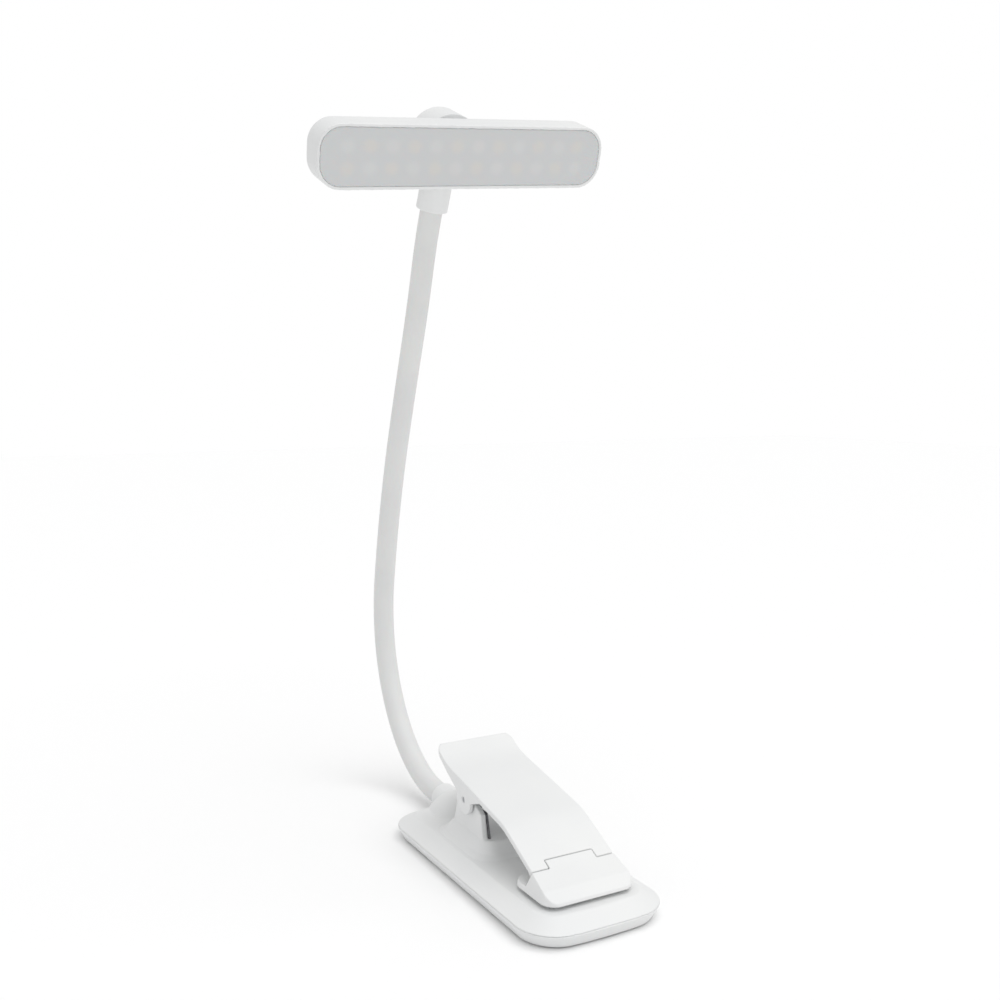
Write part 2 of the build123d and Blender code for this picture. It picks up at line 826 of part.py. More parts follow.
def neck_clamp():
    middle = clamp_middle_y()
    top_z = root_axis_z(middle) - fit_gap
    block = Pos(0, middle, top_z) * Box(
        2 * clamp_half_width,
        clamp_rear_y - clamp_front_y,
        clamp_drop,
        align=(Align.CENTER, Align.CENTER, Align.MAX),
    )
    block -= straight_rod(mouth - heading(mouth_rise) * root_length, mouth, core_radius)
    for side in (-1, 1):
        block -= Pos(side * clamp_screw_x, middle, top_z) * Cylinder(
            clamp_screw_radius + fit_gap, clamp_drop, align=(Align.CENTER, Align.CENTER, Align.MAX)
        )
        block -= Pos(side * clamp_screw_x, middle, top_z - clamp_drop) * Cylinder(
            clamp_screw_head_radius + fit_gap,
            clamp_screw_head_height,
            align=(Align.CENTER, Align.CENTER, Align.MIN),
        )
    return block


def clamp_screws():
    middle = clamp_middle_y()
    low_z = root_axis_z(middle) - fit_gap - clamp_drop
    group = []
    for side in (-1, 1):
        head = Cylinder(
            clamp_screw_head_radius, clamp_screw_head_height, align=(Align.CENTER, Align.CENTER, Align.MIN)
        )
        shank = Cylinder(
            clamp_screw_radius, clamp_drop + fit_gap + shell_wall, align=(Align.CENTER, Align.CENTER, Align.MIN)
        )
        group.append(Pos(side * clamp_screw_x, middle, low_z) * (head + shank))
    return Compound(children=group)


# ---- Neck
def core_link(index):
    """Link of the steel core. Its upper end is a ball on the next bend, its lower end a socket."""
    if index == 0:
        start = mouth - heading(mouth_rise) * root_length
        link = straight_rod(start, bend_points[0], core_radius)
        bore = straight_rod(start, bend_points[0], lead_radius)
    else:
        span = (bend_points[index - 1], bend_rises[index - 1], bend_rises[index], link_lengths[index - 1])
        link = rod(*span, core_radius)
        bore = rod(*span, lead_radius)
    if index == bend_count:
        inside = collar_rim + heading(collar_rise) * collar_sink
        link += straight_rod(collar_rim, inside, core_radius)
        bore += straight_rod(collar_rim, inside, lead_radius)
    else:
        link += Pos(*bend_points[index]) * Sphere(core_radius)
    if index > 0:
        link -= Pos(*bend_points[index - 1]) * Sphere(core_radius + socket_gap)
    return link - bore


def half_link(index, upper):
    """Start, rise, next rise and length of the lower or upper half of a neck link."""
    rise, next_rise = bend_rises[index - 1], bend_rises[index]
    middle_rise = (rise + next_rise) / 2
    half = link_lengths[index - 1] / 2
    start = bend_points[index - 1]
    if upper:
        return arc_end(start, rise, middle_rise, half), middle_rise, next_rise, half
    return start, rise, middle_rise, half


def sleeve_piece(index):
    """Stretch of the silicone sleeve that crosses one bend, from mid-link to mid-link."""
    pieces = []
    for radius in (sleeve_radius, core_radius + skin_gap):
        if index == 1:
            lower = straight_rod(
                mouth - heading(mouth_rise) * sleeve_in_mouth, bend_points[0], radius
            )
        else:
            lower = rod(*half_link(index - 1, True), radius)
        if index == bend_count:
            start = bend_points[index - 1]
            upper = rod(start, bend_rises[index - 1], bend_rises[index], link_lengths[index - 1], radius)
            upper += straight_rod(collar_rim, collar_rim + heading(collar_rise) * (collar_sink - 1), radius)
        else:
            upper = rod(*half_link(index, False), radius)
        pieces.append(lower + upper)
    return pieces[0] - pieces[1]


# ---- Collar, cup and what they hold
cup_front = -cup_depth / 2
cup_rear = cup_depth / 2


def swivel_collar():
    """One moulding: the collar on the neck's end and the round cup that the head turns in."""
    tube = straight_rod(collar_rim, hub, collar_radius)
    cup = cup_frame * Pos(0, 0, cup_front) * Cylinder(
        cup_radius, cup_depth, align=(Align.CENTER, Align.CENTER, Align.MIN)
    )
    body = tube + cup
    body -= cup_frame * Pos(0, 0, cup_front) * Cylinder(
        boss_radius + body_gap, boss_sink, align=(Align.CENTER, Align.CENTER, Align.MIN)
    )
    pocket_start = cup_front + boss_sink + cup_floor
    body -= cup_frame * Pos(0, 0, pocket_start) * Cylinder(
        cup_radius - cup_wall, cup_rear - pocket_start, align=(Align.CENTER, Align.CENTER, Align.MIN)
    )
    body -= cup_frame * Pos(0, 0, cup_front) * Cylinder(
        swivel_screw_radius + running_gap, cup_depth, align=(Align.CENTER, Align.CENTER, Align.MIN)
    )
    end = heading(collar_rise)
    body -= straight_rod(collar_rim, collar_rim + end * collar_sink, core_radius)
    body -= straight_rod(collar_rim, collar_rim + end * (collar_sink - 1), sleeve_radius)
    return body


def cup_cap():
    disc = Pos(0, 0, cup_rear - cap_thickness) * Cylinder(
        cup_radius - cup_wall, cap_thickness, align=(Align.CENTER, Align.CENTER, Align.MIN)
    )
    crown_radius = ((cup_radius - cup_wall) ** 2 + cap_crown**2) / (2 * cap_crown)
    ball = Pos(0, 0, cup_rear + cap_crown - crown_radius) * Sphere(crown_radius)
    slab = Pos(0, 0, cup_rear) * Cylinder(
        cup_radius - cup_wall, 2 * cap_crown, align=(Align.CENTER, Align.CENTER, Align.MIN)
    )
    return cup_frame * (disc + (ball & slab))


def pocket_floor():
    return cup_front + boss_sink + cup_floor


def swivel_washer():
    ring = Circle(washer_radius) - Circle(swivel_screw_radius + running_gap)
    return cup_frame * Pos(0, 0, pocket_floor()) * extrude(ring, washer_thickness)


def swivel_screw():
    """Shoulder screw: turns with the head, its head bears on the washer."""
    head_start = pocket_floor() + washer_thickness + running_gap
    head = Pos(0, 0, head_start) * Cylinder(
        swivel_head_radius, swivel_head_height, align=(Align.CENTER, Align.CENTER, Align.MIN)
    )
    slot = Pos(0, 0, head_start + swivel_head_height) * Box(
        2 * swivel_head_radius, swivel_screw_radius / 2, swivel_screw_radius
    )
    tip = cup_front - boss_height + boss_sink - head_wall
    shank = Pos(0, 0, tip) * Cylinder(
        swivel_screw_radius, head_start - tip, align=(Align.CENTER, Align.CENTER, Align.MIN)
    )
    return cup_frame * (head + shank - slot)


# ---- Head, in its own frame: z is 0 at the rim and grows to the back
def head_plan(inset):
    return RectangleRounded(head_length - 2 * inset, head_height - 2 * inset, head_corner - inset)


def head_shell():
    body = extrude(head_plan(0), head_depth)
    body = fillet(body.edges().group_by(Axis.Z)[-1], head_edge_round)
    hollow_depth = head_depth - head_wall
    body -= extrude(head_plan(head_wall), hollow_depth)
    body -= extrude(head_plan(head_rim), diffuser_sink + diffuser_thickness)
    boss = Cylinder(boss_radius, boss_height, align=(Align.CENTER, Align.CENTER, Align.MIN))
    body += Pos(0, 0, head_depth) * boss
    nut = Cylinder(2 * swivel_screw_radius, head_wall, align=(Align.CENTER, Align.CENTER, Align.MAX))
    body += Pos(0, 0, hollow_depth) * nut
    body -= Pos(0, 0, hollow_depth - head_wall) * Cylinder(
        swivel_screw_radius,
        head_wall + head_wall + boss_height,
        align=(Align.CENTER, Align.CENTER, Align.MIN),
    )
    for side in (-1, 1):
        post_start = board_depth + board_thickness
        post = Cylinder(
            2 * board_screw_radius, hollow_depth - post_start, align=(Align.CENTER, Align.CENTER, Align.MIN)
        )
        body += Pos(side * board_screw_x, 0, post_start) * post
        body -= Pos(side * board_screw_x, 0, post_start) * Cylinder(
            board_screw_radius, hollow_depth - post_start, align=(Align.CENTER, Align.CENTER, Align.MIN)
        )
    return head_frame * body


def diffuser():
    panel = extrude(head_plan(head_rim), diffuser_thickness)
    return head_frame * Pos(0, 0, diffuser_sink) * panel


def led_board():
    board = extrude(head_plan(head_wall), board_thickness)
    for side in (-1, 1):
        board -= Pos(side * board_screw_x, 0, 0) * Cylinder(board_screw_radius, 3 * board_thickness)
    return head_frame * Pos(0, 0, board_depth) * board


def leds(first_column):
    """Every second lamp chip of both rows; the rows start on opposite colours."""
    group = []
    for row, side in enumerate((-1, 1)):
        for column in range((first_column + row) % 2, led_columns, 2):
            x = (column - (led_columns - 1) / 2) * led_pitch
            place = Pos(x, side * led_row_gap / 2, board_depth)
            chip = Box(led_length, led_width, led_height, align=(Align.CENTER, Align.CENTER, Align.MAX))
            group.append(head_frame * place * chip)
    return Compound(children=group)


def board_screws():
    group = []
    for side in (-1, 1):
        head = Cylinder(
            2 * board_screw_radius, board_screw_radius, align=(Align.CENTER, Align.CENTER, Align.MAX)
        )
        shank = Cylinder(
            board_screw_radius,
            head_depth - head_wall - board_depth,
            align=(Align.CENTER, Align.CENTER, Align.MIN),
        )
        group.append(head_frame * Pos(side * board_screw_x, 0, board_depth) * (head + shank))
    return Compound(children=group)


pieces = {
    "base_lower_shell": base_lower_shell(),
    "base_upper_shell": base_upper_shell(),
    "base_foot_pad": base_foot_pad(),
    "lower_jaw_grip": lower_jaw_grip(),
    "upper_jaw_grip": upper_jaw_grip(),
    "battery_foam": battery_foam(),
    "battery_cell": battery_cell(),
    "ballast_plate": ballast_plate(),
    "control_board": control_board(),
    "usb_port": usb_port(),
    "tact_switch": tact_switch(),
    "mode_button": mode_button(),
    "indicator_lens": indicator_lens(),
    "case_screws": case_screws(),
    "neck_clamp": neck_clamp(),
    "clamp_screws": clamp_screws(),
    "hinge_pin": hinge_pin(),
    "torsion_spring": torsion_spring(),
    "lever": lever(),
    "jaw_pad_pin": jaw_pad_pin(),
    "jaw_pad": jaw_pad(),
    "swivel_collar": swivel_collar(),
    "cup_cap": cup_cap(),
    "swivel_washer": swivel_washer(),
    "swivel_screw": swivel_screw(),
    "head_shell": head_shell(),
    "diffuser": diffuser(),
    "led_board": led_board(),
    "leds_warm": leds(0),
    "leds_cool": leds(1),
    "board_screws": board_screws(),
}
for index in range(bend_count + 1):
    pieces[f"neck_core_{index}"] = core_link(index)
for index in range(1, bend_count + 1):
    pieces[f"neck_sleeve_{index}"] = sleeve_piece(index)

os.makedirs("parts", exist_ok=True)
for name, piece in pieces.items():
    export_step(piece, f"parts/{name}.step")
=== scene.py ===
import json
import math

import bmesh
import bpy
from mathutils import Matrix, Vector


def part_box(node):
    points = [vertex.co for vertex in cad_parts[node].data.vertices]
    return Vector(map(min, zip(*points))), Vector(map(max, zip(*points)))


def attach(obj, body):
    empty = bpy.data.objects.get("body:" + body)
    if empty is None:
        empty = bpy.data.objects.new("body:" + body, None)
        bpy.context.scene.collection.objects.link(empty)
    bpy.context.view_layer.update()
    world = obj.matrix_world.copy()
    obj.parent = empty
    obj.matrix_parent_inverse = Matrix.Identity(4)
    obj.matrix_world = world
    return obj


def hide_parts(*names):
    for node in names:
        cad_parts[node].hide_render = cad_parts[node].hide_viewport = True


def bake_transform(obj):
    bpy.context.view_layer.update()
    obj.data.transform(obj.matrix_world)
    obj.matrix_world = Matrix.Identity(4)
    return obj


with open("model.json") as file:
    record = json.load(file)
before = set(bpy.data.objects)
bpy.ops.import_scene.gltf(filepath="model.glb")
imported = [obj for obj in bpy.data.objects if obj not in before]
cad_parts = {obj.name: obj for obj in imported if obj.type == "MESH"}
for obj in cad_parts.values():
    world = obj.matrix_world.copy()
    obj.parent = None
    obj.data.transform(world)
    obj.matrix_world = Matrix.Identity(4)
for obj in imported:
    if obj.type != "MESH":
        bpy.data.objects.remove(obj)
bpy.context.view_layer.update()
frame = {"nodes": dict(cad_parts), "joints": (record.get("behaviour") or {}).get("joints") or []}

MM = 0.001
joints = {joint["name"]: joint for joint in frame["joints"]}
scene = bpy.context.scene


# ---- Base, upper case
# A white ABS moulding with a fine satin skin. The low mound holds the lever's two ears, and the
# dome behind it holds the neck. Every outer edge has the small radius that a mould leaves.
ABS_WHITE = (0.80, 0.805, 0.80)
ABS_SHADE = (0.765, 0.773, 0.775)
CASE_CELL = 0.45 * MM
CASE_ROUNDING = 2
MERGE_GAP = 0.002 * MM
SMOOTHING_FACTOR = 0.5
DRIFT_DETAIL = 3
DARK_UP_TO = 0.35
LIGHT_FROM = 0.65
GRAIN_DETAIL = 2
GRAIN_STRENGTH = 0.35


def moulded_finish(name, light, dark, patch, rough, grain, grain_depth, **shader):
    """A plastic, rubber or metal skin: a slow drift of colour and gloss, and a fine grain."""
    finish = bpy.data.materials.new(name)
    finish.use_nodes = True
    tree = finish.node_tree
    nodes, links = tree.nodes, tree.links
    skin = nodes["Principled BSDF"]
    place = nodes.new("ShaderNodeTexCoord")
    drift = nodes.new("ShaderNodeTexNoise")
    drift.inputs["Scale"].default_value = 1 / patch
    drift.inputs["Detail"].default_value = DRIFT_DETAIL
    links.new(place.outputs["Object"], drift.inputs["Vector"])
    tint = nodes.new("ShaderNodeValToRGB")
    tint.color_ramp.elements[0].position = DARK_UP_TO
    tint.color_ramp.elements[0].color = (*dark, 1)
    tint.color_ramp.elements[1].position = LIGHT_FROM
    tint.color_ramp.elements[1].color = (*light, 1)
    links.new(drift.outputs["Fac"], tint.inputs["Fac"])
    links.new(tint.outputs["Color"], skin.inputs["Base Color"])
    gloss = nodes.new("ShaderNodeMapRange")
    gloss.inputs["To Min"].default_value = rough[0]
    gloss.inputs["To Max"].default_value = rough[1]
    links.new(drift.outputs["Fac"], gloss.inputs["Value"])
    links.new(gloss.outputs["Result"], skin.inputs["Roughness"])
    texture = nodes.new("ShaderNodeTexNoise")
    texture.inputs["Scale"].default_value = 1 / grain
    texture.inputs["Detail"].default_value = GRAIN_DETAIL
    links.new(place.outputs["Object"], texture.inputs["Vector"])
    relief = nodes.new("ShaderNodeBump")
    relief.inputs["Strength"].default_value = GRAIN_STRENGTH
    relief.inputs["Distance"].default_value = grain_depth
    links.new(texture.outputs["Fac"], relief.inputs["Height"])
    links.new(relief.outputs["Normal"], skin.inputs["Normal"])
    for socket, value in shader.items():
        skin.inputs[socket.replace("_", " ")].default_value = value
    return finish


def set_finish(piece, finish):
    piece.data.materials.clear()
    piece.data.materials.append(finish)


def baked(piece):
    """The piece with its modifiers made real."""
    shape = piece.evaluated_get(bpy.context.evaluated_depsgraph_get())
    mesh = bpy.data.meshes.new_from_object(shape)
    piece.modifiers.clear()
    piece.data = mesh
    return piece


def moulded(node, name, cell, rounding):
    """A copy of a CAD node as one smooth skin, its sharp edges rounded as a mould rounds them."""
    mesh = frame["nodes"][node].data.copy()
    work = bmesh.new()
    work.from_mesh(mesh)
    bmesh.ops.remove_doubles(work, verts=work.verts, dist=MERGE_GAP)
    work.to_mesh(mesh)
    work.free()
    piece = bpy.data.objects.new(name, mesh)
    scene.collection.objects.link(piece)
    skin = piece.modifiers.new("skin", "REMESH")
    skin.mode = "VOXEL"
    skin.voxel_size = cell
    skin.use_smooth_shade = True
    ease = piece.modifiers.new("ease", "SMOOTH")
    ease.factor = SMOOTHING_FACTOR
    ease.iterations = rounding
    return baked(piece)


white_abs = moulded_finish(
    "white_abs", ABS_WHITE, ABS_SHADE, 60 * MM, (0.36, 0.46), 0.35 * MM, 0.02 * MM,
    Specular_IOR_Level=0.45,
)
case_top = moulded("base_upper_shell", "case_top", CASE_CELL, CASE_ROUNDING)
set_finish(case_top, white_abs)
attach(case_top, "base")
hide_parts("base_upper_shell")


# ---- Base, lower case
# The tray that closes the base from below, from the same mould shop, so it has the same skin. Its
# sides lean in under the belt, and four screws hold it to the upper case.
TRAY_CELL = 0.45 * MM
TRAY_ROUNDING = 2

case_tray = moulded("base_lower_shell", "case_tray", TRAY_CELL, TRAY_ROUNDING)
set_finish(case_tray, white_abs)
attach(case_tray, "base")
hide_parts("base_lower_shell")


# ---- Foot pad and jaw grips
# Die-cut rubber sheets, stuck on. The foot is dark foam rubber. The two grips in the jaw are a
# paler, firmer rubber, so that they don't mark what is clamped.
foot_rubber = moulded_finish(
    "foot_rubber", (0.07, 0.07, 0.072), (0.045, 0.045, 0.047), 12 * MM, (0.8, 0.9),
    0.3 * MM, 0.08 * MM,
)
grip_rubber = moulded_finish(
    "grip_rubber", (0.72, 0.73, 0.73), (0.66, 0.67, 0.675), 15 * MM, (0.6, 0.72),
    0.4 * MM, 0.05 * MM,
)
set_finish(frame["nodes"]["base_foot_pad"], foot_rubber)
set_finish(frame["nodes"]["lower_jaw_grip"], grip_rubber)
set_finish(frame["nodes"]["upper_jaw_grip"], grip_rubber)


# ---- Screws, pins and washer
# Zinc-plated steel with a faint grey-blue cast, turned or cold-headed. The hinge pin's ends sit
# just inside the lever's sides.
zinc_steel = moulded_finish(
    "zinc_steel",
    (0.60, 0.61, 0.63),
    (0.50, 0.51, 0.53),
    4 * MM,
    (0.24, 0.38),
    0.12 * MM,
    0.01 * MM,
    Metallic=1.0,
)
for part in (
    "case_screws",
    "clamp_screws",
    "board_screws",
    "swivel_screw",
    "swivel_washer",
    "hinge_pin",
    "jaw_pad_pin",
    "ballast_plate",
):
    set_finish(frame["nodes"][part], zinc_steel)


# ---- Battery and its foam
# A flat pouch cell in silver-grey laminate, held off the tray by a strip of black adhesive foam.
pouch_laminate = moulded_finish(
    "pouch_laminate", (0.55, 0.57, 0.60), (0.46, 0.48, 0.51), 6 * MM, (0.25, 0.4),
    0.5 * MM, 0.03 * MM, Metallic=0.6,
)
black_foam = moulded_finish(
    "black_foam", (0.06, 0.06, 0.06), (0.03, 0.03, 0.03), 2 * MM, (0.85, 0.95), 0.3 * MM, 0.1 * MM
)
set_finish(frame["nodes"]["battery_cell"], pouch_laminate)
set_finish(frame["nodes"]["battery_foam"], black_foam)


# ---- Control board, switch and charging socket
# A green glass-fibre board with two chips. The switch is black nylon, and the socket is a drawn
# steel shell that shows in its slot on the right-hand side.
green_mask = moulded_finish(
    "green_mask", (0.03, 0.20, 0.09), (0.02, 0.14, 0.06), 3 * MM, (0.3, 0.42),
    0.2 * MM, 0.01 * MM,
)
black_nylon = moulded_finish(
    "black_nylon", (0.05, 0.05, 0.055), (0.03, 0.03, 0.034), 2 * MM, (0.45, 0.6),
    0.15 * MM, 0.01 * MM,
)
socket_steel = moulded_finish(
    "socket_steel",
    (0.70, 0.70, 0.71),
    (0.60, 0.60, 0.62),
    2 * MM,
    (0.2, 0.3),
    0.1 * MM,
    0.005 * MM,
    Metallic=1.0,
)
set_finish(frame["nodes"]["control_board"], green_mask)
set_finish(frame["nodes"]["tact_switch"], black_nylon)
set_finish(frame["nodes"]["usb_port"], socket_steel)


# ---- Neck clamp
# A plain white ABS block that two screws pull up under the dome, round the neck's root.
set_finish(frame["nodes"]["neck_clamp"], white_abs)


# ---- Mode button and indicator
# A round white key with a shallow rounded rim, and beside it the clear light pipe that shows the
# charge.
KEY_CELL = 0.18 * MM
KEY_ROUNDING = 3

clear_acrylic = moulded_finish(
    "clear_acrylic", (0.86, 0.88, 0.88), (0.80, 0.83, 0.84), 2 * MM, (0.08, 0.14),
    0.2 * MM, 0.002 * MM, Coat_Weight=0.4,
)
mode_key = moulded("mode_button", "mode_key", KEY_CELL, KEY_ROUNDING)
set_finish(mode_key, white_abs)
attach(mode_key, "mode_button")
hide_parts("mode_button")
set_finish(frame["nodes"]["indicator_lens"], clear_acrylic)


# ---- Lever
# A white ABS plate with a bent-up thumb end. Two side webs carry it on the hinge pin, and two lugs
# under its front edge hold the jaw pad's pin.
LEVER_CELL = 0.38 * MM
LEVER_ROUNDING = 4

lever_plate = moulded("lever", "lever_plate", LEVER_CELL, LEVER_ROUNDING)
set_finish(lever_plate, white_abs)
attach(lever_plate, "lever")
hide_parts("lever")


# ---- Jaw pad
# The part that presses down on the work. It is a separate white moulding whose tab fits the notch
# in the lever, and it swings on its own pin so that it stays flat on what it holds.
PAD_CELL = 0.32 * MM
PAD_ROUNDING = 3

jaw_block = moulded("jaw_pad", "jaw_block", PAD_CELL, PAD_ROUNDING)
set_finish(jaw_block, white_abs)
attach(jaw_block, "jaw_pad")
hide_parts("jaw_pad")


# ---- Torsion spring
# Drawn spring wire, wound in two coils on the hinge pin. One leg of each coil stands in the base,
# and the bar that joins the other two lies under the lever.
WIRE_RADIUS = 0.6 * MM
WIRE_SIDES = 10
COIL_RADIUS = 3.9 * MM  # to the middle of the wire
COIL_OUTER_X = 12.0 * MM
COIL_INNER_X = 6.05 * MM
COIL_TURNS = 5.5
COIL_STEPS = 20
LEG_FOOT_Y = 2.6 * MM
LEG_FOOT_Z = 14.3 * MM
LEG_KNEE_Y = 5.4 * MM
KNEE_START = 0.12  # where the knee's bend starts, as a share of the leg
KNEE_END = Vector((0, 0.35 * MM, 0.05 * MM))
BAR_TILT = math.radians(10.4)
BAR_REACH = 15 * MM
BAR_CORNER = 0.9 * MM
BAR_CORNER_RISE = 0.15 * MM
SHARP_ANGLE = math.radians(50)


def path_curve(name, points):
    curve = bpy.data.curves.new(name, "CURVE")
    curve.dimensions = "3D"
    spline = curve.splines.new("POLY")
    spline.points.add(len(points) - 1)
    for point, place in zip(spline.points, points):
        point.co = (*place, 1)
    piece = bpy.data.objects.new(name, curve)
    scene.collection.objects.link(piece)
    return piece


def round_bar_tree():
    """A round bar along a path, with closed ends; two of them make a hollow tube."""
    tree = bpy.data.node_groups.new("round_bar", "GeometryNodeTree")
    face = tree.interface
    face.new_socket("Path", in_out="INPUT", socket_type="NodeSocketGeometry")
    face.new_socket("Radius", in_out="INPUT", socket_type="NodeSocketFloat")
    face.new_socket("Sides", in_out="INPUT", socket_type="NodeSocketInt")
    face.new_socket("Skin", in_out="INPUT", socket_type="NodeSocketMaterial")
    face.new_socket("Bar", in_out="OUTPUT", socket_type="NodeSocketGeometry")
    nodes, links = tree.nodes, tree.links
    given = nodes.new("NodeGroupInput")
    ring = nodes.new("GeometryNodeCurvePrimitiveCircle")
    sweep = nodes.new("GeometryNodeCurveToMesh")
    sweep.inputs["Fill Caps"].default_value = True
    smooth = nodes.new("GeometryNodeSetShadeSmooth")
    real = nodes.new("GeometryNodeRealizeInstances")
    skin = nodes.new("GeometryNodeSetMaterial")
    out = nodes.new("NodeGroupOutput")
    links.new(given.outputs["Sides"], ring.inputs["Resolution"])
    links.new(given.outputs["Radius"], ring.inputs["Radius"])
    links.new(given.outputs["Path"], sweep.inputs["Curve"])
    links.new(ring.outputs["Curve"], sweep.inputs["Profile Curve"])
    links.new(sweep.outputs["Mesh"], smooth.inputs["Geometry"])
    links.new(smooth.outputs["Geometry"], real.inputs["Geometry"])
    links.new(real.outputs["Geometry"], skin.inputs["Geometry"])
    links.new(given.outputs["Skin"], skin.inputs["Material"])
    links.new(skin.outputs["Geometry"], out.inputs["Bar"])
    return tree


round_bar = round_bar_tree()
SOCKETS = {item.name: item.identifier for item in round_bar.interface.items_tree}


def bar_along(name, points, radius, sides, finish):
    path = path_curve(name + "_path", points)
    grow = path.modifiers.new("bar", "NODES")
    grow.node_group = round_bar
    grow[SOCKETS["Radius"]] = radius
    grow[SOCKETS["Sides"]] = sides
    grow[SOCKETS["Skin"]] = finish
    shape = path.evaluated_get(bpy.context.evaluated_depsgraph_get())
    mesh = bpy.data.meshes.new_from_object(shape)
    bpy.data.objects.remove(path)
    work = bmesh.new()
    work.from_mesh(mesh)
    bmesh.ops.recalc_face_normals(work, faces=work.faces)
    work.to_mesh(mesh)
    work.free()
    mesh.set_sharp_from_angle(angle=SHARP_ANGLE)
    piece = bpy.data.objects.new(name, mesh)
    scene.collection.objects.link(piece)
    set_finish(piece, finish)
    return piece


def spring_path(side):
    """From the foot in the base, round the coil, to the middle of the bar under the lever."""
    axle = Vector(joints["lever_hinge"]["pos_m"])
    foot = Vector((side * COIL_OUTER_X, LEG_FOOT_Y, LEG_FOOT_Z))
    knee = Vector((side * COIL_OUTER_X, LEG_KNEE_Y, axle.z - COIL_RADIUS))
    points = [foot, knee.lerp(foot, KNEE_START), knee + KNEE_END]
    total = int(COIL_TURNS * COIL_STEPS)
    for step in range(total + 1):
        share = step / total
        turn = -math.pi / 2 + (2 * math.pi * COIL_TURNS + BAR_TILT) * share
        x = COIL_OUTER_X + (COIL_INNER_X - COIL_OUTER_X) * share
        y = axle.y + COIL_RADIUS * math.cos(turn)
        z = axle.z + COIL_RADIUS * math.sin(turn)
        points.append(Vector((side * x, y, z)))
    tip = points[-1] - BAR_REACH * Vector((0, math.cos(BAR_TILT), math.sin(BAR_TILT)))
    points.append(tip + Vector((0, BAR_CORNER, BAR_CORNER_RISE)))
    points.append(tip + Vector((-side * BAR_CORNER, 0, 0)))
    points.append(Vector((0, tip.y, tip.z)))
    return points


# The wire is dark grey: partly the colour of drawn spring steel, partly painted shade, darkened to
# stand for the leg's shade under the lever.
spring_wire_and_painted_shade = moulded_finish(
    "spring_wire_and_painted_shade",
    (0.20, 0.20, 0.21),
    (0.13, 0.13, 0.14),
    2 * MM,
    (0.3, 0.45),
    0.08 * MM,
    0.01 * MM,
    Metallic=1.0,
)
right_half = spring_path(1)
left_half = spring_path(-1)
spring = bar_along(
    "spring_wound", right_half + left_half[-2::-1], WIRE_RADIUS, WIRE_SIDES, spring_wire_and_painted_shade
)
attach(spring, "base")
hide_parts("torsion_spring")


# ---- Neck, steel core
# Wound steel strip with the supply wires inside. It is hidden by the sleeve.
NECK_BENDS = 9

for link in range(NECK_BENDS + 1):
    set_finish(frame["nodes"][f"neck_core_{link}"], zinc_steel)


# ---- Neck sleeve
# A white silicone tube pulled over the steel core, matt and a little soft to the touch. It is cut
# into stretches half-way between the bends, and each stretch bends across one of them.
SLEEVE_RADIUS = 5.0 * MM
SLEEVE_BORE = 3.9 * MM
SLEEVE_SIDES = 40
SLEEVE_STEPS = 26
MOUTH_RISE = 0.0
SLEEVE_IN_MOUTH = 12.0 * MM  # from the first bend back to the sleeve's lower end
FIRST_STEPS = 8
RIM_MARGIN = 1.05
NEARLY_STRAIGHT = 1e-6
COLLAR_REACH = 28.8 * MM
COLLAR_SINK = 8.0 * MM
RIM_RISE = math.radians(115.5)


def heading(rise):
    return Vector((0, math.cos(rise), math.sin(rise)))


def rise_of(step):
    return math.atan2(step.z, step.y)


def chord_share(half):
    """An arc's chord over its length, for half of the angle that it turns."""
    return math.sin(half) / half if abs(half) > NEARLY_STRAIGHT else 1


def arc_points(start, rise, next_rise, length, steps):
    """Points on an arc in the plane of symmetry, from rise to next_rise over that length."""
    points = []
    for step in range(steps + 1):
        share = step / steps
        half = (next_rise - rise) * share / 2
        reach = length * share * chord_share(half)
        points.append(start + heading(rise + half) * reach)
    return points


bends = [Vector(joints[f"neck_bend_{k}"]["pos_m"]) for k in range(1, NECK_BENDS + 1)]
hub = Vector(joints["head_swivel"]["pos_m"])
rises = [MOUTH_RISE]
for lower, upper in zip(bends, bends[1:]):
    rises.append(2 * rise_of(upper - lower) - rises[-1])
rim = hub - heading(RIM_RISE) * COLLAR_REACH
ends = bends + [rim]
rises.append(RIM_RISE)


def link_length(index):
    """Arc length of the link between two neighbouring bends."""
    half = (rises[index + 1] - rises[index]) / 2
    return (ends[index + 1] - ends[index]).length / chord_share(half)


white_silicone = moulded_finish(
    "white_silicone",
    (0.73, 0.735, 0.725),
    (0.70, 0.703, 0.70),
    25 * MM,
    (0.5, 0.62),
    0.18 * MM,
    0.02 * MM,
    Sheen_Weight=0.12,
    Sheen_Roughness=0.5,
    Subsurface_Weight=0.06,
    Subsurface_Scale=0.002,
)


def tube_between(name, points):
    """The outer wall with its bore: the bore's mesh is turned inside out and joined at the ends."""
    outer = bar_along(name, points, SLEEVE_RADIUS, SLEEVE_SIDES, white_silicone)
    inner = bar_along(name + "_bore", points, SLEEVE_BORE, SLEEVE_SIDES, white_silicone)
    work = bmesh.new()
    work.from_mesh(outer.data)
    caps = [face for face in work.faces if len(face.verts) > 4]
    bmesh.ops.delete(work, geom=caps, context="FACES_ONLY")
    work.from_mesh(inner.data)
    caps = [face for face in work.faces if len(face.verts) > 4]
    bmesh.ops.delete(work, geom=caps, context="FACES_ONLY")
    rims = [edge for edge in work.edges if edge.is_boundary]
    for end in (points[0], points[-1]):
        near = [
            edge for edge in rims if (edge.verts[0].co - end).length < SLEEVE_RADIUS * RIM_MARGIN
        ]
        bmesh.ops.bridge_loops(work, edges=near)
    bmesh.ops.recalc_face_normals(work, faces=work.faces)
    work.to_mesh(outer.data)
    work.free()
    for face in outer.data.polygons:
        face.use_smooth = True
    outer.data.set_sharp_from_angle(angle=SHARP_ANGLE)
    bpy.data.objects.remove(inner)
    return outer


